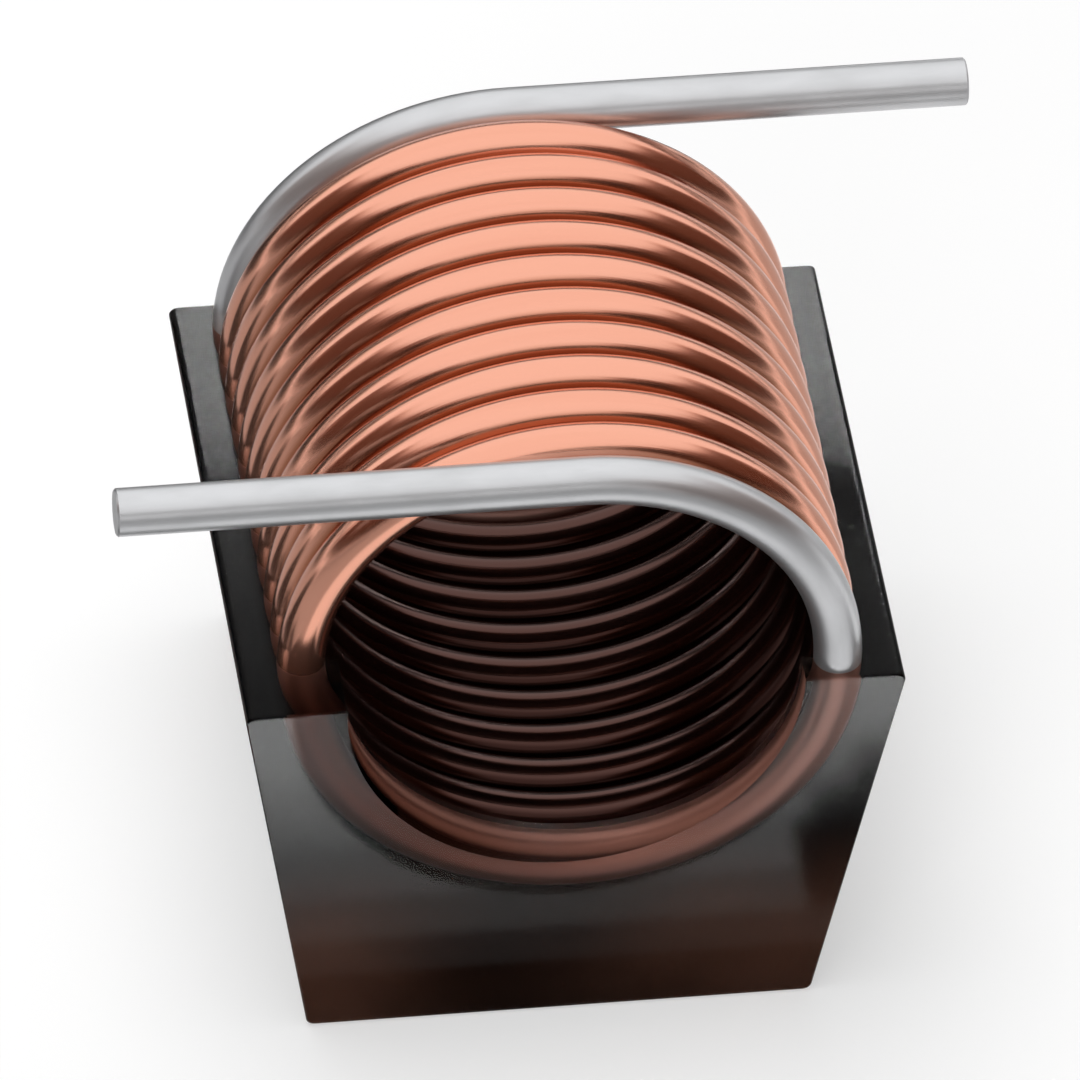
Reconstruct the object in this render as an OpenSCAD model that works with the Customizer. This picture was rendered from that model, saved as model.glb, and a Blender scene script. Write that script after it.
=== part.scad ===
// Air core inductor: a close-wound coil of round enamelled wire with two tangent leads.
// The lower half of the coil is set in a tapered block of resin with a flat pick face.
// Frame: +Z up, origin at the middle of the pick face, Y along the coil's axis, millimetres.

/* [Winding] */
// Diameter of the wire over its enamel
wire_d = 0.8; // [0.5:0.05:1.1]
// Diameter of the bore through the turns
bore_d = 8; // [6:0.25:12]
// Number of whole turns
turn_count = 11; // [4:1:18]
// Gap between neighbouring turns
turn_gap = 0.01; // [0.006:0.002:0.06]
// Reach of each lead past the side of the jacket
lead_overhang = 2.2; // [1:0.1:8]

/* [Jacket] */
// Thickness of resin beside the coil, level with its axis
side_wall = 0.7; // [0.4:0.05:1.6]
// Thickness of resin under the coil
floor_wall = 2.4; // [0.6:0.1:4]
// Resin past the outermost wire at each end
end_cover = 0.1; // [0.02:0.02:0.5]
// Lean of each side face, in degrees
side_draft = 10; // [0:0.5:14]
// Radius along the four long edges
edge_r = 0.15; // [0.05:0.05:0.3]
// Depth, from the outside of the coil, to which resin fills the grooves between turns
groove_fill = 0.2; // [0.1:0.02:0.24]
// Step from the bore in to the lip of resin over each end turn
lip_step = 0.2; // [0.04:0.02:0.4]

/* [Hidden] */
$fn = 64;

// A subtracted shape runs past the face that it cuts by this much
overrun = 1;
// Straight steps in one rounded edge
edge_steps = 6;
// Runs of wire stop this far short of a joint, where a ball of the wire's diameter carries it on
joint_gap = 0.02;

wire_r = wire_d / 2;
bore_r = bore_d / 2;
wind_r = bore_r + wire_r;
coil_r = bore_r + wire_d;

// Over the top each turn is square to the axis. Under it, each leans to reach the next one, and
// the pitch is what keeps the gap between the leaning halves.
turn_step = wire_d + turn_gap;
pitch = turn_step / sqrt(1 - pow(turn_step / (2 * wind_r), 2));
lean = atan(pitch / 2 / wind_r);
under_r = norm([wind_r, pitch / 2]);
lead_y = turn_count * pitch / 2;

axis_h = coil_r + floor_wall;
jacket_top_w = 2 * (coil_r + side_wall);
pick_face_w = jacket_top_w - 2 * axis_h * tan(side_draft);
jacket_l = 2 * (lead_y + wire_r + end_cover);
lead_reach = jacket_top_w / 2 + lead_overhang;

fill_r = coil_r - groove_fill;
lip_r = bore_r - lip_step;

function unit(v) = v / norm(v);

// Fillet at corner b of a counter-clockwise outline, between neighbours a and c
function fillet(a, b, c, r) =
    let (
        back = unit(a - b),
        ahead = unit(c - b),
        half_angle = acos(back * ahead) / 2,
        centre = b + unit(back + ahead) * r / sin(half_angle),
        first = b + back * r / tan(half_angle) - centre,
        start = atan2(first.y, first.x),
        step = (180 - 2 * half_angle) / edge_steps
    )
    [for (i = [0:edge_steps]) centre + r * [cos(start + step * i), sin(start + step * i)]];

function rounded(corners, r) =
    let (count = len(corners))
    [
        for (i = [0:count - 1])
        each fillet(corners[(i + count - 1) % count], corners[i], corners[(i + 1) % count], r)
    ];

// Place along the axis of the half turn that lies this many turns from the rear lead
function turn_y(turn) = lead_y - turn * pitch;

module joint_ball()
    sphere(d = wire_d);

// Part of a ring of wire in the XZ plane, swept from +X up over +Z
module wire_arc(r, sweep)
    let (trim = asin(joint_gap / r))
    rotate([90, -trim, 0])
    rotate_extrude(angle = sweep - 2 * trim)
    translate([r, 0])
    circle(d = wire_d);

module over_turn(turn, sweep = 180)
    translate([0, turn_y(turn), axis_h])
    wire_arc(wind_r, sweep);

// Leads on from one turn's left side to the next one's right side
module under_turn(turn)
    translate([0, turn_y(turn + 0.5), axis_h])
    rotate([0, 0, -lean])
    mirror([0, 0, 1])
    wire_arc(under_r, 180);

// The front lead: the last quarter turn, then straight to the tip
module lead() {
    over_turn(turn_count, 90);
    translate([0, turn_y(turn_count), axis_h + wind_r])
    rotate([0, -90, 0]) {
        joint_ball();
        translate([0, 0, joint_gap])
        cylinder(d = wire_d, h = lead_reach - joint_gap);
    }
}

// The winding looks the same when it is turned half round, so one side is made and turned
module turned_pair() {
    children();
    rotate([0, 0, 180]) children();
}

module winding()
    color("#e89478") {
        for (turn = [1:turn_count - 1]) over_turn(turn);
        for (turn = [0:turn_count - 1]) under_turn(turn);
        turned_pair() {
            lead();
            for (turn = [1:turn_count])
                translate([wind_r, turn_y(turn), axis_h])
                joint_ball();
        }
    }

// Cross-section of the block, seen along the coil's axis
module block_outline()
    polygon(rounded([
        [-pick_face_w / 2, 0],
        [pick_face_w / 2, 0],
        [jacket_top_w / 2, axis_h],
        [-jacket_top_w / 2, axis_h]
    ], edge_r));

module along_axis(length, r)
    translate([0, 0, axis_h])
    rotate([90, 0, 0])
    cylinder(r = r, h = length, center = true);

// Space that the resin leaves round the turns, from the middle of the first half turn
// under the axis to the middle of the last
module turn_channel()
    intersection() {
        along_axis(jacket_l, fill_r);
        rotate([0, 0, -lean])
        translate([0, 0, axis_h])
        cube([4 * coil_r, (turn_count - 1) * pitch * cos(lean), 4 * coil_r], center = true);
    }

// The whole ring that a half turn under the axis is part of
module turn_seat(turn)
    translate([0, turn_y(turn + 0.5), axis_h])
    rotate([0, 0, -lean])
    rotate([90, 0, 0])
    rotate_extrude()
    translate([under_r, 0])
    circle(d = wire_d);

module jacket()
    color("#26262a")
    difference() {
        rotate([90, 0, 0])
        linear_extrude(height = jacket_l, center = true)
        block_outline();
        turn_channel();
        along_axis(jacket_l + 2 * overrun, lip_r);
        for (turn = [0:turn_count - 1]) turn_seat(turn);
    }

winding();
jacket();
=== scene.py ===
# %% [markdown]
# # An air core inductor
#
# The real part is a coil of enamelled copper wire whose lower half is cast in a block of smoky
# black resin. It has two pieces: the wire, which is one length from tip to tip, and the block.
# The engineering model comes first, as a fixed frame in metres with +Z up and the coil's axis
# along Y. Everything below is made around it and never moves it.

# %% Load the frame
import math

import bmesh
import bpy
from mathutils import Matrix, Vector


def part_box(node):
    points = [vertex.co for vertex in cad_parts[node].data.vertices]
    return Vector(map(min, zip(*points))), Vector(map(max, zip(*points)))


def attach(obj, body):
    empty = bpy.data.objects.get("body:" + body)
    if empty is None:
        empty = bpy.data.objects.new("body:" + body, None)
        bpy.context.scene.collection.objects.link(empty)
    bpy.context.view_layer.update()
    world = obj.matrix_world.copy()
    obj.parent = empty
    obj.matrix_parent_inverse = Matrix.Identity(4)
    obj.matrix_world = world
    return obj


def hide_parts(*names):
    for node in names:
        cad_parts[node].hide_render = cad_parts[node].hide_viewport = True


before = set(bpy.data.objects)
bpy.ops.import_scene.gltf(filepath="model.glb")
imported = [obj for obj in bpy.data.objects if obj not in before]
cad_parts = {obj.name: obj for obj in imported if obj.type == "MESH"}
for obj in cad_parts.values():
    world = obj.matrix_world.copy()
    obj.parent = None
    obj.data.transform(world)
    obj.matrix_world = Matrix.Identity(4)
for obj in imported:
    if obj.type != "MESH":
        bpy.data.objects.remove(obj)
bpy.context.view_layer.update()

# %% [markdown]
# The wire's gauge and the number of turns are what a winder is told. The other sizes follow from
# where the two pieces lie in the frame: the block's top face is level with the coil's axis, and
# the winding's box gives its radius, its pitch and the reach of its leads.

# %% Sizes of the coil
MM = 0.001
WIRE_R = 0.4 * MM
TURNS = 11

_, winding_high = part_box("winding")
_, block_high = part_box("jacket")
axis_z = block_high.z
wind_r = winding_high.z - WIRE_R - axis_z
lead_y = winding_high.y - WIRE_R
lead_reach = winding_high.x
pitch = 2 * lead_y / TURNS
print(f"winding radius {wind_r / MM:.2f} mm, pitch {pitch / MM:.3f} mm, leads {lead_reach / MM:.2f} mm")

# %% [markdown]
# A node tree is easier to read as sums than as a list of nodes. `Value` wraps one socket, so that
# `1 - mask` or `radius * angle.sin()` adds the Math nodes itself. `Tree` adds every other kind of
# node with one method: its type, its settings, which are set first, and what its sockets hold.

# %% Sums on sockets
class Value:
    def __init__(self, tree, socket):
        self.tree = tree
        self.socket = socket

    def math(self, operation, *operands):
        return self.tree.add("ShaderNodeMath", {"operation": operation}, dict(enumerate(operands)))

    def __add__(self, other):
        return self.math("ADD", self, other)

    def __sub__(self, other):
        return self.math("SUBTRACT", self, other)

    def __rsub__(self, other):
        return self.math("SUBTRACT", other, self)

    def __mul__(self, other):
        return self.math("MULTIPLY", self, other)

    def __truediv__(self, other):
        return self.math("DIVIDE", self, other)

    def __pow__(self, other):
        return self.math("POWER", self, other)

    def __lt__(self, other):
        return self.math("LESS_THAN", self, other)

    def __gt__(self, other):
        return self.math("GREATER_THAN", self, other)

    __radd__ = __add__
    __rmul__ = __mul__

    def of(self, operation, *operands):
        return self.math(operation, self, *operands)


# %% One method for all other nodes
class Tree:
    def __init__(self, nodes_owner):
        self.tree = nodes_owner

    def add(self, kind, settings=None, inputs=None, out=0):
        node = self.tree.nodes.new(kind)
        for name, setting in (settings or {}).items():
            setattr(node, name, setting)
        for key, content in (inputs or {}).items():
            socket = self.socket(node, key)
            if isinstance(content, Value):
                self.tree.links.new(content.socket, socket)
            else:
                socket.default_value = content
        if not node.outputs:
            return None
        return Value(self, self.socket(node, out, "outputs"))

    def socket(self, node, key, side="inputs"):
        sockets = getattr(node, side)
        if isinstance(key, int):
            return sockets[key]
        return next(s for s in sockets if s.name == key and s.enabled)

    def blend(self, factor, a, b):
        """Colour a where the factor is 0, colour b where it is 1."""
        settings = {"data_type": "RGBA"}
        return self.add("ShaderNodeMix", settings, {0: factor, "A": a, "B": b}, "Result")


# %% [markdown]
# ## The camera
#
# A small part on a bench is best seen through a long lens from well back, because a near lens
# would make the front of the coil look larger than its back. The camera stands in front, a little
# to the left and above, and it is rolled slightly.

# %% Camera
CAMERA_TURN = math.radians(-10.3)
CAMERA_RISE = math.radians(43.5)
CAMERA_ROLL = math.radians(3.2)
CAMERA_AWAY = 350 * MM
VIEW_WIDTH = 17.9 * MM
AIM_RIGHT = 0.09 * MM
AIM_UP = -0.85 * MM

coil_centre = Vector((0, 0, axis_z))
towards_camera = Vector((
    math.sin(CAMERA_TURN) * math.cos(CAMERA_RISE),
    -math.cos(CAMERA_TURN) * math.cos(CAMERA_RISE),
    math.sin(CAMERA_RISE),
))
level = Vector((math.cos(CAMERA_TURN), math.sin(CAMERA_TURN), 0))
upward = towards_camera.cross(level)
right = math.cos(CAMERA_ROLL) * level + math.sin(CAMERA_ROLL) * upward
up = towards_camera.cross(right)
aim = coil_centre + AIM_RIGHT * right + AIM_UP * up

camera_data = bpy.data.cameras.new("camera")
camera = bpy.data.objects.new("camera", camera_data)
bpy.context.scene.collection.objects.link(camera)
bpy.context.scene.camera = camera
camera_data.lens = camera_data.sensor_width * CAMERA_AWAY / VIEW_WIDTH
camera_data.clip_start = 10 * MM
camera.matrix_world = (
    Matrix.Translation(aim + CAMERA_AWAY * towards_camera)
    @ Matrix((right, up, towards_camera)).transposed().to_4x4()
)
print(f"lens {camera_data.lens:.0f} mm, {1000 * CAMERA_AWAY:.0f} mm from the coil")

# %% [markdown]
# ## Enamelled copper
#
# Magnet wire is drawn copper under a clear enamel. Drawing leaves faint lines along the wire, and
# the enamel is a smooth coat over them. A pattern on Object coordinates would cut across the
# turns, so the wire's mesh carries its own coordinates, `wire_place`: two for the place round the
# section and one for the length from the tip. Stretching a noise along the third one gives lines
# that follow the wire round every turn without a seam.

# %% Drawn lines along the wire
def new_material(name):
    material = bpy.data.materials.new(name)
    material.use_nodes = True
    material.node_tree.nodes.clear()
    return material, Tree(material.node_tree)


def noise(tree, place, scale, detail):
    """Soft noise from 0 to 1, with its scale in cycles for each unit of the place that is read."""
    inputs = {"Vector": place, "Scale": scale, "Detail": detail}
    return tree.add("ShaderNodeTexNoise", None, inputs, "Fac")


def drawn_lines(tree, across, along, detail=3.0):
    """Noise from 0 to 1 in streaks that follow the wire. Sizes are in cycles per radius and per mm."""
    place = tree.add("ShaderNodeAttribute", {"attribute_name": "wire_place"}, None, "Vector")
    inputs = {0: place, 1: (across, across, along / MM)}
    scaled = tree.add("ShaderNodeVectorMath", {"operation": "MULTIPLY"}, inputs, "Vector")
    return noise(tree, scaled, 1.0, detail)


# %% [markdown]
# The wire isn't equally bright all over. Below the block's top face it is darker, partly because
# resin wets it and partly as painted shade. Above that, painted shade darkens the grooves between
# the turns and the side of the wire that faces the axis, and a painted highlight lightens the crest
# of each turn on that side. Object coordinates give the distance from the axis, because the coil
# lies along Y. A second attribute, `turn_number`, counts the turns from the rear and keeps the two
# end turns free of the painted shade and highlight in the grooves and the bore.

# %% Where the wire is wetted, and where shade and highlight are painted on it
RESIN_EDGE = 0.03 * MM
UNPAINTED_TURNS = 0.95
PAINTED_TURNS = 1.1
# Each slope runs between two distances from the wire's middle, counted away from the coil's axis
GROOVE_SLOPE = (0.31 * MM, 0.20 * MM)
INWARD_SLOPE = (0.05 * MM, -0.15 * MM)
# Where the painted highlight lies on the bore side of each turn
HIGHLIGHT_SLOPE = (-0.26 * MM, -0.34 * MM)


def smooth_step(tree, value, start, end):
    """0 at the start, 1 at the end, with an eased slope between them. The end may be the smaller."""
    settings = {"interpolation_type": "SMOOTHSTEP"}
    return tree.add(
        "ShaderNodeMapRange", settings, {"Value": value, "From Min": start, "From Max": end}, "Result"
    )


def axes_of(tree, vector):
    """The three parts of a vector, as values."""
    outputs = tree.add("ShaderNodeSeparateXYZ", None, {0: vector}).socket.node.outputs
    return [Value(tree, outputs[name]) for name in "XYZ"]


# Masks of the wire's wetted zone, its painted shade and its painted highlight
def wetting_and_painted_light(tree):
    """Where the wire is in resin, in a groove, facing the axis, and on the crest of that side."""
    place = tree.add("ShaderNodeTexCoord", None, None, "Object")
    x, _, z = axes_of(tree, place)
    in_resin = smooth_step(tree, z, axis_z + RESIN_EDGE, axis_z - RESIN_EDGE)
    turn = tree.add("ShaderNodeAttribute", {"attribute_name": "turn_number"}, None, "Fac")
    from_middle = (turn - TURNS / 2).of("ABSOLUTE")
    on_painted_turns = smooth_step(tree, from_middle, TURNS / 2 - UNPAINTED_TURNS, TURNS / 2 - PAINTED_TURNS)
    outside = (x ** 2 + (z - axis_z) ** 2) ** 0.5 - wind_r
    in_groove = smooth_step(tree, outside, *GROOVE_SLOPE) * on_painted_turns
    inward = smooth_step(tree, outside, *INWARD_SLOPE) * on_painted_turns
    return in_resin, in_groove, inward, smooth_step(tree, outside, *HIGHLIGHT_SLOPE)


# %% Copper
COPPER = (0.885, 0.42, 0.295)
COPPER_DULL = (0.84, 0.37, 0.25)
# Copper below the top face: partly wetted by resin, partly painted shade
WETTED_AND_SHADED = (0.34, 0.18, 0.145)
# Painted shade in the grooves between the turns
GROOVE_PAINTED_SHADE = (0.44, 0.16, 0.085)
# Painted shade on the side of the wire inside the bore
BORE_PAINTED_SHADE = (0.03, 0.009, 0.006)
# A painted highlight on the crest of each turn inside the bore
BORE_PAINTED_HIGHLIGHT = (0.09, 0.042, 0.034)


def copper_material():
    material, tree = new_material("enamelled copper")
    fine = drawn_lines(tree, 9.0, 0.25)
    broad = drawn_lines(tree, 1.6, 0.12, 2.0)
    dullness = tree.add(
        "ShaderNodeMapRange", None, {"Value": broad, "From Min": 0.45, "From Max": 0.8, "To Max": 0.5}
    )
    metal = tree.blend(dullness, (*COPPER, 1), (*COPPER_DULL, 1))
    in_resin, in_groove, in_bore, painted_highlight = wetting_and_painted_light(tree)
    # Painted shade in the grooves between the turns
    colour = tree.blend(in_groove, metal, (*GROOVE_PAINTED_SHADE, 1))
    # Below the top face the wire is darker: partly resin wetting, partly painted shade
    colour = tree.blend(in_resin, colour, (*WETTED_AND_SHADED, 1))
    bore_colour = tree.blend(painted_highlight, (*BORE_PAINTED_SHADE, 1), (*BORE_PAINTED_HIGHLIGHT, 1))
    # The bore side of the wire gets painted shade, with a painted highlight on each crest
    colour = tree.blend(in_bore, colour, bore_colour)
    bump = tree.add(
        "ShaderNodeBump", None, {"Strength": 0.25, "Distance": 0.01 * MM, "Height": fine}, "Normal"
    )
    surface = tree.add("ShaderNodeBsdfPrincipled", None, {
        "Base Color": colour,
        "Metallic": 0.97,
        "Roughness": fine * 0.08 + in_resin * (1 - in_bore) * 0.2 + 0.16,
        "Normal": bump,
        "Coat Weight": 0.12,
        "Coat Roughness": 0.12,
        "Coat IOR": 1.55,
    }, "BSDF")
    tree.add("ShaderNodeOutputMaterial", None, {"Surface": surface})
    return material


# %% [markdown]
# ## Tinned leads
#
# The enamel is stripped where the wire is to be soldered, and the bare copper is dipped in tin.
# Tin is grey, brighter than steel, and a little uneven, because it sets in a thin film that flows
# down the wire. It covers each lead and the quarter turn that runs down to the resin.

# %% Tin
TIN = (0.66, 0.665, 0.68)
TIN_DULL = (0.55, 0.555, 0.565)


def tin_material():
    material, tree = new_material("tinned copper")
    fine = drawn_lines(tree, 7.0, 0.2)
    film = drawn_lines(tree, 1.2, 0.9, 4.0)
    dullness = tree.add(
        "ShaderNodeMapRange", None, {"Value": film, "From Min": 0.4, "From Max": 0.75, "To Max": 0.6}
    )
    colour = tree.blend(dullness, (*TIN, 1), (*TIN_DULL, 1))
    height = fine * 0.5 + film
    bump = tree.add(
        "ShaderNodeBump", None, {"Strength": 0.2, "Distance": 0.012 * MM, "Height": height}, "Normal"
    )
    surface = tree.add("ShaderNodeBsdfPrincipled", None, {
        "Base Color": colour,
        "Metallic": 0.85,
        "Roughness": film * 0.10 + 0.30,
        "Normal": bump,
    }, "BSDF")
    tree.add("ShaderNodeOutputMaterial", None, {"Surface": surface})
    return material


copper = copper_material()
tin = tin_material()
print("wire finishes:", copper.name, "and", tin.name)

# %% [markdown]
# ## The wire's path
#
# A screw-shaped path could be made by a Screw modifier, but this winding isn't a plain helix: each
# turn lies square to the axis over the top and leans only under it, where the resin hides the
# step to the next turn. So the path is a rule. A line of points is numbered from the rear tip, and
# Geometry Nodes turn each number into an angle and each angle into a place. The two points past
# each end of the turns are the lead: one at its tip and one a chamfer short of it.

# %% Inputs of the winding tree
winding_sizes = {
    "Turns": TURNS,
    "Steps per turn": 128,
    "Sides of the wire": 36,
    "Wire radius": WIRE_R,
    "Winding radius": wind_r,
    "Pitch": pitch,
    "Axis height": axis_z,
    "Lead reach": lead_reach,
    "Tip chamfer": 0.03 * MM,
}
LEAD_POINTS = 2
winding_tree = bpy.data.node_groups.new("wind the coil", "GeometryNodeTree")
for name, size in winding_sizes.items():
    kind = "NodeSocketInt" if isinstance(size, int) else "NodeSocketFloat"
    winding_tree.interface.new_socket(name, in_out="INPUT", socket_type=kind)
winding_tree.interface.new_socket("Wire", in_out="OUTPUT", socket_type="NodeSocketGeometry")
print("inputs of the winding tree:", ", ".join(winding_sizes))


# %% From a point's number to its place
def path_of_wire(tree, given):
    index = tree.add("GeometryNodeInputIndex")
    turning_steps = given["Turns"] * given["Steps per turn"]
    from_first_turn = index - LEAD_POINTS
    turned = from_first_turn.of("MAXIMUM", 0).of("MINIMUM", turning_steps)
    past_turns = from_first_turn - turned
    angle = turned * math.tau / given["Steps per turn"]
    turn = angle / math.tau
    under = angle.of("COSINE") < 0

    straight = past_turns.of("ABSOLUTE")
    reach = given["Lead reach"] - given["Tip chamfer"] * (LEAD_POINTS - straight)
    x = given["Winding radius"] * angle.of("SINE") * -1 - past_turns.of("SIGN") * reach

    half_pitch = given["Pitch"] / 2
    lean_r = (given["Winding radius"] ** 2 + half_pitch ** 2) ** 0.5
    radius = given["Winding radius"] + (lean_r - given["Winding radius"]) * under
    z = given["Axis height"] + radius * angle.of("COSINE")

    square_turn = (turn + 0.5).of("FLOOR")
    leaning_turn = turn.of("FLOOR") + 0.5 - angle.of("SINE") * 0.5
    turns_along = square_turn + (leaning_turn - square_turn) * under
    y = given["Pitch"] * (given["Turns"] * 0.5 - turns_along)
    place = tree.add("ShaderNodeCombineXYZ", None, {"X": x, "Y": y, "Z": z}, "Vector")
    thickness = given["Wire radius"] - given["Tip chamfer"] * (straight > LEAD_POINTS - 0.5)
    return place, thickness, turn


# %% [markdown]
# Curve to Mesh draws a circle along the path. Before it, two things are kept on the curves: the
# length from the tip on the path, and the place round the section on the circle. They travel on
# to the mesh, and together they are the coordinates that the two metals read. The faces up to a
# quarter turn from each lead get the tin.

# %% Values kept on a curve and stored on a mesh
def capture(tree, geometry, kind, content):
    """Keeps a value of a curve's points. Gives the curve and the kept value."""
    node = tree.tree.nodes.new("GeometryNodeCaptureAttribute")
    node.capture_items.new(kind, "kept")
    tree.tree.links.new(geometry.socket, node.inputs["Geometry"])
    tree.tree.links.new(content.socket, node.inputs["kept"])
    return Value(tree, node.outputs["Geometry"]), Value(tree, node.outputs["kept"])


def store(tree, mesh, name, content, kind):
    """Stores a value on a mesh's points, under a name that materials can read."""
    settings = {"data_type": kind, "domain": "POINT"}
    inputs = {"Geometry": mesh, "Name": name, "Value": content}
    return tree.add("GeometryNodeStoreNamedAttribute", settings, inputs)


# %% Build the winding tree
QUARTER_TURN = 0.25
SHARP_ANGLE = math.radians(30)


def build_winding_tree():
    tree = Tree(winding_tree)
    entry = winding_tree.nodes.new("NodeGroupInput")
    given = {name: Value(tree, entry.outputs[name]) for name in winding_sizes}
    place, thickness, turn = path_of_wire(tree, given)
    count = given["Turns"] * given["Steps per turn"] + (2 * LEAD_POINTS + 1)
    line = tree.add("GeometryNodeMeshLine", None, {"Count": count}, "Mesh")
    line = tree.add("GeometryNodeSetPosition", None, {"Geometry": line, "Position": place}, "Geometry")
    path = tree.add("GeometryNodeMeshToCurve", None, {"Mesh": line}, "Curve")
    path, turn_kept = capture(tree, path, "FLOAT", turn)
    path, thickness_kept = capture(tree, path, "FLOAT", thickness)
    length = tree.add("GeometryNodeSplineParameter", None, None, "Length")
    path, length_kept = capture(tree, path, "FLOAT", length)

    circle_inputs = {"Resolution": given["Sides of the wire"], "Radius": 1.0}
    circle = tree.add("GeometryNodeCurvePrimitiveCircle", {"mode": "RADIUS"}, circle_inputs, "Curve")
    circle, section_kept = capture(tree, circle, "VECTOR", tree.add("GeometryNodeInputPosition"))
    wire = tree.add("GeometryNodeCurveToMesh", None, {
        "Curve": path,
        "Profile Curve": circle,
        "Scale": thickness_kept,
        "Fill Caps": True,
    }, "Mesh")

    across, over, _ = axes_of(tree, section_kept)
    wire_place = tree.add("ShaderNodeCombineXYZ", None, {
        "X": across,
        "Y": over,
        "Z": length_kept,
    }, "Vector")
    wire = store(tree, wire, "wire_place", wire_place, "FLOAT_VECTOR")
    wire = store(tree, wire, "turn_number", turn_kept, "FLOAT")
    bend = tree.add("GeometryNodeInputMeshEdgeAngle", None, None, "Unsigned Angle")
    wire = tree.add("GeometryNodeSetShadeSmooth", {"domain": "EDGE"}, {
        "Geometry": wire,
        "Shade Smooth": bend < SHARP_ANGLE,
    })
    wire = tree.add("GeometryNodeRealizeInstances", None, {"Geometry": wire})
    wire = tree.add("GeometryNodeSetMaterial", None, {"Geometry": wire, "Material": copper})
    from_middle = (turn_kept - given["Turns"] * 0.5).of("ABSOLUTE")
    tinned = from_middle > given["Turns"] * 0.5 - QUARTER_TURN
    wire = tree.add("GeometryNodeSetMaterial", None, {
        "Geometry": wire,
        "Selection": tinned,
        "Material": tin,
    })
    leave = winding_tree.nodes.new("NodeGroupOutput")
    winding_tree.links.new(wire.socket, leave.inputs["Wire"])


build_winding_tree()
print("winding tree:", len(winding_tree.nodes), "nodes")


# %% Make the wire a plain mesh
def made_by_tree(name, tree, sizes):
    """Runs a node tree with these sizes and keeps what it makes as a mesh of its own."""
    source = bpy.data.objects.new(name + "_source", bpy.data.meshes.new(name + "_source"))
    bpy.context.scene.collection.objects.link(source)
    modifier = source.modifiers.new("tree", "NODES")
    modifier.node_group = tree
    entries = [item for item in tree.interface.items_tree if item.in_out == "INPUT"]
    sockets = {item.name: item.identifier for item in entries}
    for size_name, size in sizes.items():
        modifier[sockets[size_name]] = size
    evaluated = source.evaluated_get(bpy.context.evaluated_depsgraph_get())
    mesh = bpy.data.meshes.new_from_object(evaluated)
    mesh.name = name
    bpy.data.objects.remove(source)
    piece = bpy.data.objects.new(name, mesh)
    bpy.context.scene.collection.objects.link(piece)
    return piece


wire = made_by_tree("coil_wire", winding_tree, winding_sizes)
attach(wire, "root")
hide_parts("winding")
print("wire:", len(wire.data.polygons), "faces,", [m.name for m in wire.data.materials])

# %% [markdown]
# ## The resin block
#
# The block was cast round the coil, so the wire and the resin touch everywhere inside it. Two
# surfaces in the same place would flicker through clear resin, so this mesh leaves the seats out:
# the wire simply runs through it. What stays is what the mould made, which is the tapered outline,
# the channel under the turns and the lip that laps over each end turn.

# %% Sizes of the block
SIDE_DRAFT = math.radians(10)
EDGE_R = 0.15 * MM
END_EDGE = 0.03 * MM
GROOVE_FILL = 0.2 * MM
LIP_STEP = 0.2 * MM

half_length = block_high.y
fill_r = wind_r + WIRE_R - GROOVE_FILL
lip_r = wind_r - WIRE_R - LIP_STEP
# The box is measured over the rounding, which takes this much off the sharp top corner
corner_loss = EDGE_R * (1 / math.cos(SIDE_DRAFT) + math.tan(SIDE_DRAFT) - 1)
top_half = block_high.x + corner_loss
base_half = top_half - axis_z * math.tan(SIDE_DRAFT)
print(f"block {2 * top_half / MM:.2f} mm wide at the top and {2 * base_half / MM:.2f} mm at the base")


# %% Outline of the block
def rounded_corner(corner, before, after, radius, steps=8):
    """Points of the arc that rounds one corner of an outline."""
    back = (before - corner).normalized()
    ahead = (after - corner).normalized()
    half_angle = back.angle(ahead) / 2
    centre = corner + (back + ahead).normalized() * radius / math.sin(half_angle)
    first = corner + back * radius / math.tan(half_angle) - centre
    swing = math.pi - 2 * half_angle
    turn = 1 if back.cross(ahead) < 0 else -1
    return [centre + Matrix.Rotation(turn * swing * i / steps, 2) @ first for i in range(steps + 1)]


def block_outline(inset=0.0):
    """The tapered section, seen along the coil's axis, drawn in by the inset."""
    corners = [
        Vector((-base_half, 0.0)),
        Vector((base_half, 0.0)),
        Vector((top_half, axis_z)),
        Vector((-top_half, axis_z)),
    ]
    middle = Vector((0.0, axis_z / 2))
    outline = []
    for i, corner in enumerate(corners):
        outline += rounded_corner(corner, corners[i - 1], corners[(i + 1) % 4], EDGE_R)
    shrunk = []
    for point in outline:
        away = point - middle
        nearer = Vector((away.x * (1 - inset / top_half), away.y * (1 - 2 * inset / axis_z)))
        shrunk.append(middle + nearer)
    return shrunk


# %% Rings of points joined into a closed skin
def skin(name, rings):
    """A closed mesh through rings of equally many points, with a cap on the first and the last."""
    mesh_in_work = bmesh.new()
    loops = [[mesh_in_work.verts.new(point) for point in ring] for ring in rings]
    for near, far in zip(loops, loops[1:]):
        for i, vertex in enumerate(near):
            j = (i + 1) % len(near)
            mesh_in_work.faces.new((vertex, near[j], far[j], far[i]))
    mesh_in_work.faces.new(loops[0])
    mesh_in_work.faces.new(loops[-1])
    bmesh.ops.recalc_face_normals(mesh_in_work, faces=mesh_in_work.faces[:])
    mesh = bpy.data.meshes.new(name)
    mesh_in_work.to_mesh(mesh)
    mesh_in_work.free()
    piece = bpy.data.objects.new(name, mesh)
    bpy.context.scene.collection.objects.link(piece)
    return piece


def outline_ring(y, inset):
    return [(point.x, y, point.y) for point in block_outline(inset)]


block = skin("resin_block", [
    outline_ring(-half_length, END_EDGE),
    outline_ring(-half_length + END_EDGE, 0.0),
    outline_ring(half_length - END_EDGE, 0.0),
    outline_ring(half_length, END_EDGE),
])
print("block before the channel is cut:", len(block.data.polygons), "faces")

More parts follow.
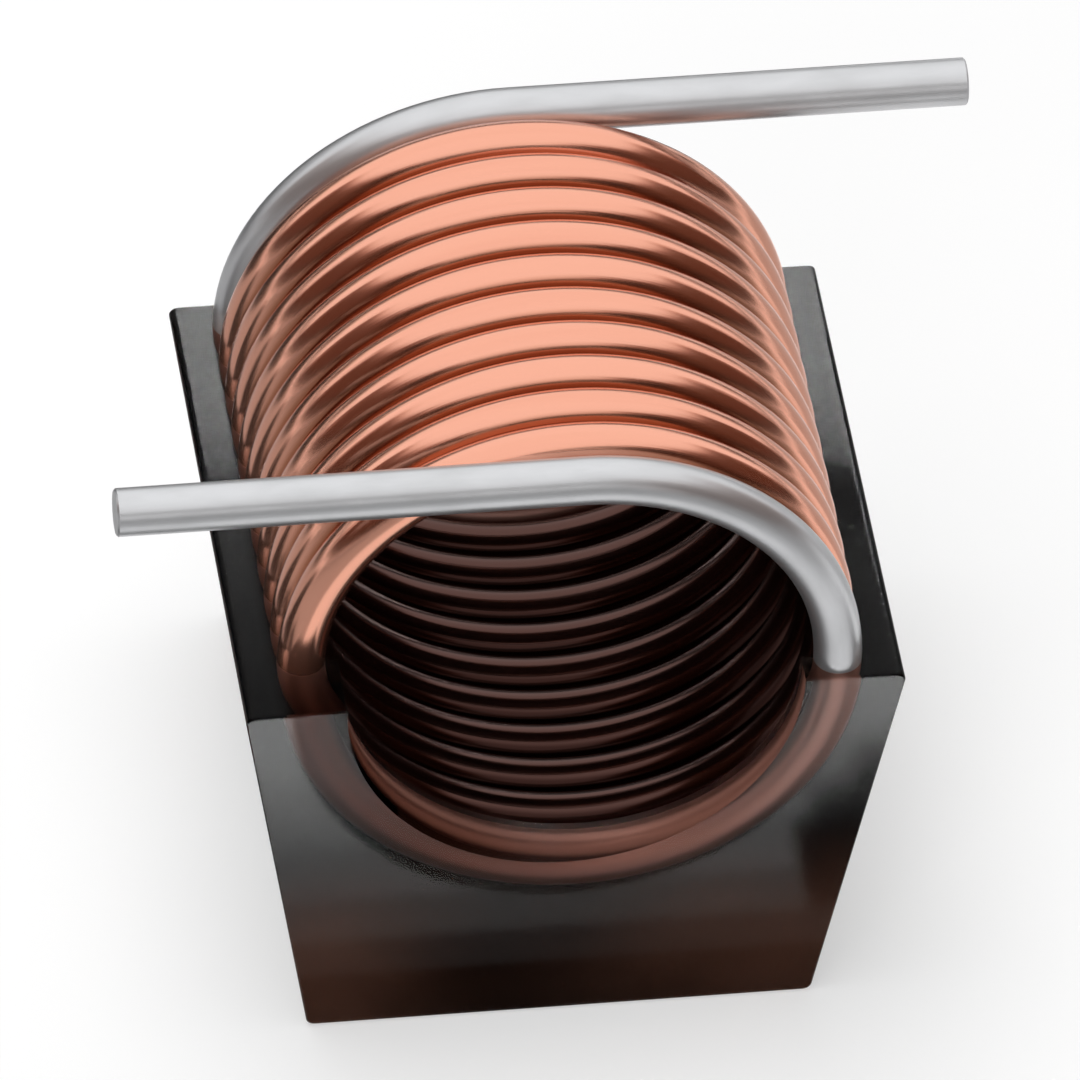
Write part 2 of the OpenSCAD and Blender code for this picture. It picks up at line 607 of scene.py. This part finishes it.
# %% [markdown]
# The channel is cut with one spool-shaped tool: the bore of the lips at its ends and a wider
# barrel between them. The barrel's ends lean with the first and the last half turn, so each lip
# ends on the crest of its turn. A Boolean takes the tool out of the block.

# %% Cut the channel
OVERRUN = 1.0 * MM
CHANNEL_SIDES = 192


def spool_ring(radius, y, leaning=False):
    ring = []
    for i in range(CHANNEL_SIDES):
        angle = math.tau * i / CHANNEL_SIDES
        x = radius * math.sin(angle)
        lean = -pitch / 2 * x / wind_r if leaning else 0.0
        ring.append((x, y + lean, axis_z + radius * math.cos(angle)))
    return ring


barrel_half = lead_y - pitch / 2
spool = skin("channel_tool", [
    spool_ring(lip_r, -half_length - OVERRUN),
    spool_ring(lip_r, -barrel_half, True),
    spool_ring(fill_r, -barrel_half, True),
    spool_ring(fill_r, barrel_half, True),
    spool_ring(lip_r, barrel_half, True),
    spool_ring(lip_r, half_length + OVERRUN),
])
cut = block.modifiers.new("channel", "BOOLEAN")
cut.operation = "DIFFERENCE"
cut.solver = "EXACT"
cut.object = spool


# %% Keep the block as a plain mesh
def apply_modifiers(piece):
    evaluated = piece.evaluated_get(bpy.context.evaluated_depsgraph_get())
    mesh = bpy.data.meshes.new_from_object(evaluated)
    piece.modifiers.clear()
    piece.data = mesh


apply_modifiers(block)
bpy.data.objects.remove(spool)
block.data.name = "resin_block"
block.data.set_sharp_from_angle(angle=SHARP_ANGLE)
for face in block.data.polygons:
    face.use_smooth = True
print("block:", len(block.data.polygons), "faces")

# %% [markdown]
# ## Smoky resin
#
# The resin looks black because light is absorbed on its way through several millimetres of it, and
# yet the end turn shows through the thin layer over it. A black plastic with some alpha would show
# every turn equally, so the resin is a clear solid with absorption inside. Its cut faces are duller
# than glass, so part of the clear surface bends light without mirroring it, and most of it does so
# over the end turns, where gloss would hide the copper. That zone is lifted a little, because the
# turn lies behind the face and is seen from above. Near the foot of the two end faces, patches of
# brown diffuse colour are painted glints.

# %% Where the resin is dull or has a painted glint
# Each pair is a slope, with no effect at its first value and the full effect at its second
OVER_WIRE = (wind_r + WIRE_R + 0.02 * MM, wind_r + WIRE_R - 0.18 * MM)
ON_TOP = (axis_z - 0.10 * MM, axis_z - 0.02 * MM)
AT_ENDS = (half_length - 0.22 * MM, half_length - 0.02 * MM)
LOW_DOWN = (4.2 * MM, 1.2 * MM)
FROM_MIDDLE = (0.3 * MM, 3.6 * MM)
OVER_WIRE_LIFT = 0.2 * MM
MIDDLE_SHIFT = 0.5 * MM
MIDDLE_SHARE = 0.25
GLOSSLESS = 0.45
GLOSSLESS_OVER_WIRE = 0.37
GLOSSLESS_ON_TOP = 0.28


def dull_and_glinting(tree, place):
    """How much of the resin's surface has no gloss, and how much has a painted glint."""
    x, y, z = axes_of(tree, place)
    from_lifted_axis = (x ** 2 + (z - axis_z - OVER_WIRE_LIFT) ** 2) ** 0.5
    over_wire = smooth_step(tree, from_lifted_axis, *OVER_WIRE) * GLOSSLESS_OVER_WIRE
    on_top = smooth_step(tree, z, *ON_TOP) * GLOSSLESS_ON_TOP
    from_middle = (x + MIDDLE_SHIFT).of("ABSOLUTE")
    at_sides = smooth_step(tree, from_middle, *FROM_MIDDLE) * (1 - MIDDLE_SHARE) + MIDDLE_SHARE
    at_ends = smooth_step(tree, y.of("ABSOLUTE"), *AT_ENDS)
    in_foot = at_sides * smooth_step(tree, z, *LOW_DOWN) * at_ends
    return over_wire.of("MAXIMUM", on_top) + GLOSSLESS, in_foot


# %% Resin
CLEAR = (0.95, 0.95, 0.95, 1)
RESIN_IOR = 1.33
RESIN_TINT = (0.50, 0.33, 0.25)
ABSORPTION = 1.7 / MM
# A painted glint: brown diffuse colour near the foot of the end faces
PAINTED_GLINT = (0.45, 0.20, 0.13)
PAINTED_GLINT_SHARE = 0.3


def resin_material():
    material, tree = new_material("smoky resin")
    place = tree.add("ShaderNodeTexCoord", None, None, "Object")
    patches = noise(tree, place, 0.35 / MM, 3.0)
    flow = noise(tree, place, 0.9 / MM, 2.0)
    bump = tree.add(
        "ShaderNodeBump", None, {"Strength": 0.15, "Distance": 0.01 * MM, "Height": flow}, "Normal"
    )
    clear = tree.add("ShaderNodeBsdfPrincipled", None, {
        "Base Color": CLEAR,
        "Roughness": patches * 0.08 + 0.10,
        "IOR": RESIN_IOR,
        "Transmission Weight": 1.0,
        "Normal": bump,
    }, "BSDF")
    dull = tree.add("ShaderNodeBsdfRefraction", None, {
        "Color": CLEAR,
        "Roughness": 0.14,
        "IOR": RESIN_IOR,
        "Normal": bump,
    }, "BSDF")
    glossless, in_foot = dull_and_glinting(tree, place)
    clear = tree.add("ShaderNodeMixShader", None, {"Fac": glossless, 1: clear, 2: dull}, "Shader")
    # Painted brown glints near the foot of the two end faces
    glint_paint = tree.add("ShaderNodeBsdfDiffuse", None, {"Color": (*PAINTED_GLINT, 1)}, "BSDF")
    surface = tree.add("ShaderNodeMixShader", None, {
        "Fac": in_foot * patches * PAINTED_GLINT_SHARE,
        1: clear,
        2: glint_paint,
    }, "Shader")
    inside = tree.add("ShaderNodeVolumeAbsorption", None, {
        "Color": (*RESIN_TINT, 1),
        "Density": ABSORPTION,
    }, "Volume")
    tree.add("ShaderNodeOutputMaterial", None, {"Surface": surface, "Volume": inside})
    return material


resin = resin_material()
block.data.materials.clear()
block.data.materials.append(resin)
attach(block, "root")
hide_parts("jacket")
print("block finish:", resin.name)

# %% [markdown]
# ## Stage and light
#
# The part stands on a plain pale floor under soft lamps. The floor is lifted to white for the rays
# that leave the camera, and keeps its shadow.

# %% Floor
FLOOR_SIZE = 2000 * MM
AIR_UNDER = 0.02 * MM
FLOOR_GREY = 0.6
FLOOR_LIFT = 0.45
FAR_LIFT = 0.4
FAR_SLOPE = (20 * MM, 120 * MM)


def floor_material():
    material, tree = new_material("pale floor")
    paint = tree.add("ShaderNodeBsdfDiffuse", None, {"Color": (FLOOR_GREY,) * 3 + (1,)}, "BSDF")
    rays = tree.add("ShaderNodeLightPath").socket.node.outputs
    seen = sum(Value(tree, rays[f"Is {kind} Ray"]) for kind in ("Camera", "Glossy", "Transmission"))
    place = tree.add("ShaderNodeTexCoord", None, None, "Object")
    from_part = tree.add("ShaderNodeVectorMath", {"operation": "LENGTH"}, {0: place}, "Value")
    far = smooth_step(tree, from_part, *FAR_SLOPE)
    lift = tree.add("ShaderNodeEmission", None, {
        "Color": (1, 1, 1, 1),
        "Strength": seen.of("MINIMUM", 1) * (far * FAR_LIFT + FLOOR_LIFT),
    }, "Emission")
    surface = tree.add("ShaderNodeAddShader", None, {0: paint, 1: lift}, "Shader")
    tree.add("ShaderNodeOutputMaterial", None, {"Surface": surface})
    return material


bpy.ops.mesh.primitive_plane_add(size=FLOOR_SIZE, location=(0, 0, -AIR_UNDER))
floor = bpy.context.object
floor.name = "floor"
floor.data.materials.append(floor_material())
print(f"floor {AIR_UNDER / MM:.2f} mm under the part")


# %% Lamps
def soft_lamp(name, place, size, power):
    """A square lamp that faces the coil. Its place and size are in millimetres."""
    data = bpy.data.lights.new(name, "AREA")
    data.size = size * MM
    data.energy = power
    lamp = bpy.data.objects.new(name, data)
    bpy.context.scene.collection.objects.link(lamp)
    lamp.location = Vector(place) * MM
    lamp.rotation_euler = (coil_centre - lamp.location).to_track_quat("-Z", "Y").to_euler()
    lamp.visible_glossy = False
    return lamp


lamps = [
    soft_lamp("overhead lamp", (-15, 15, 120), 90, 0.11),
    soft_lamp("front lamp", (-50, -110, 90), 60, 0.03),
]
print("soft lamps:", len(lamps))

# %% [markdown]
# A dark glossy block shows its faces only by what they mirror, so it gets white cards to mirror. One
# stands behind it for the top face. A row of cards lies in front for the end face, each brighter
# than the one nearer the block, so that the face fades towards its foot. Some of them end short of
# the right corner, which stays dark. They light the block alone, and only its gloss.

# %% Cards for the block
near_block = bpy.data.collections.new("lit by the cards")
near_block.objects.link(block)


def card(name, place, size, turn, radiance):
    """A flat white card, as an area lamp. Its place and size are in millimetres."""
    data = bpy.data.lights.new(name, "AREA")
    data.shape = "RECTANGLE"
    data.size, data.size_y = size[0] * MM, size[1] * MM
    data.energy = radiance * math.pi * data.size * data.size_y
    lamp = bpy.data.objects.new(name, data)
    bpy.context.scene.collection.objects.link(lamp)
    lamp.location = Vector(place) * MM
    lamp.rotation_euler = [math.radians(a) for a in turn]
    lamp.light_linking.receiver_collection = near_block
    lamp.visible_camera = lamp.visible_diffuse = lamp.visible_transmission = False
    return lamp


CARDS_LEFT = -20
CARDS_ABOVE = 0.1
cards = [card("card behind", (5, 25, 15), (36, 30), (-90, 0, 0), 24)]
# The middle along Y, the depth, the right end and the radiance of each card, outwards from the block
for row, (middle, depth, right_end, radiance) in enumerate([
    (-6.4, 0.8, 20, 0.45),
    (-7.3, 1.0, 4.5, 1.6),
    (-8.4, 1.2, 4.5, 3.2),
    (-9.4, 0.8, 4.9, 4.6),
    (-10.2, 0.8, 5.7, 6.6),
    (-11.6, 2.0, 20, 9.5),
    (-15.1, 5, 20, 16.0),
]):
    width = right_end - CARDS_LEFT
    place = (CARDS_LEFT + width / 2, middle, CARDS_ABOVE)
    cards.append(card(f"card in front {row + 1}", place, (width, depth), (180, 0, 0), radiance))
print("cards:", len(cards))

# %% [markdown]
# Grey and black cloths lie round the part, out of the camera's sight, and only shiny surfaces see
# them. They put thin dark lines between the bright crests of the coil, and keep the white floor out
# of the undersides of the leads.

# %% Cloths
def cloth_on_floor(name, middle, size, shade, above):
    """A cloth that only shiny surfaces see. Its place, size and height are in millimetres."""
    material, tree = new_material(name)
    paint = tree.add("ShaderNodeBsdfDiffuse", None, {"Color": (shade, shade, shade, 1)}, "BSDF")
    tree.add("ShaderNodeOutputMaterial", None, {"Surface": paint})
    bpy.ops.mesh.primitive_plane_add(size=1, location=(middle[0] * MM, middle[1] * MM, above * MM))
    cloth = bpy.context.object
    cloth.name = name
    cloth.scale = (size[0] * MM, size[1] * MM, 1)
    cloth.data.materials.append(material)
    cloth.visible_camera = cloth.visible_diffuse = False
    cloth.visible_transmission = cloth.visible_shadow = False


cloths = [
    ("grey cloth at the left", (-48, 0), (80, 120), 0.5, 0.03),
    ("black cloth at the left", (-45, 0), (62, 9), 0.03, 0.05),
    ("black cloth behind", (-44, 210), (112, 380), 0.03, 0.05),
    ("grey cloth at the right", (48, 40), (70, 80), 0.65, 0.03),
    ("grey cloth in front", (0, -222), (400, 400), 0.5, 0.02),
    ("black cloth in front", (0, -7.1), (40, 4.2), 0.03, 0.05),
]
for cloth in cloths:
    cloth_on_floor(*cloth)
print("cloths:", len(cloths))

# %% [markdown]
# Shiny wire shows whatever stands round it, so the room matters more than the lamps. The world is
# dim to the rays that light dull surfaces, white to the camera and to clear resin, and a plain
# studio to shiny surfaces. That studio is white overhead. A brown drape hangs at each side, a dark
# strip crosses the front, and it is dark low down, most of all behind. These draw the streaks along
# each turn and the shades along the leads.

# %% Studio seen in shiny surfaces
WHITE = (1, 1, 1, 1)
DRAPE = (1.0, 0.42, 0.24, 1)
OVERHEAD = 1.1
STRIP_DARK = 0.95
HORIZON_DARK = 0.7
BEHIND_DARK = 0.9


def studio_in_shine(tree, direction):
    """Strength and colour of the studio that shiny surfaces show."""
    # Each slope below runs between two values of X, Y or Z in a direction of length 1
    x, y, z = axes_of(tree, direction)
    beside = smooth_step(tree, x.of("ABSOLUTE"), 0.28, 0.42)
    not_behind = smooth_step(tree, y, 0.35, 0.20)
    above_table = smooth_step(tree, z, -0.05, 0.0)
    below_top = smooth_step(tree, z, 0.68, 0.58)
    drapes = beside * not_behind * above_table * below_top
    in_front = smooth_step(tree, y, -0.55, -0.75)
    strip = smooth_step(tree, z, 0.36, 0.42) * smooth_step(tree, z, 0.58, 0.50) * in_front
    horizon = smooth_step(tree, z, 0.22, 0.05)
    low_behind = smooth_step(tree, z, 0.32, 0.16) * smooth_step(tree, y, 0.45, 0.7)
    dark = (strip * STRIP_DARK).of("MAXIMUM", horizon * HORIZON_DARK)
    dark = dark.of("MAXIMUM", low_behind * BEHIND_DARK)
    return (OVERHEAD - drapes) * (1 - dark), tree.blend(drapes, WHITE, DRAPE)


# %% World
DIM = 0.25
world = bpy.data.worlds.new("studio")
bpy.context.scene.world = world
world.use_nodes = True
world.node_tree.nodes.clear()
studio = Tree(world.node_tree)
rays = studio.add("ShaderNodeLightPath").socket.node.outputs
in_shine = Value(studio, rays["Is Glossy Ray"])
seen = Value(studio, rays["Is Camera Ray"]) + Value(studio, rays["Is Transmission Ray"])
in_view = seen.of("MINIMUM", 1)
direction = studio.add("ShaderNodeTexCoord", None, None, "Generated")
shown, tint = studio_in_shine(studio, direction)
shine = in_shine * (shown - DIM) + DIM
strength = in_view * (1 - shine) + shine
colour = studio.blend(in_shine * (1 - in_view), WHITE, tint)
background = studio.add("ShaderNodeBackground", None, {
    "Color": colour,
    "Strength": strength,
}, "Background")
studio.add("ShaderNodeOutputWorld", None, {"Surface": background})
bpy.context.scene.view_settings.view_transform = "Standard"
print("world:", len(world.node_tree.nodes), "nodes")
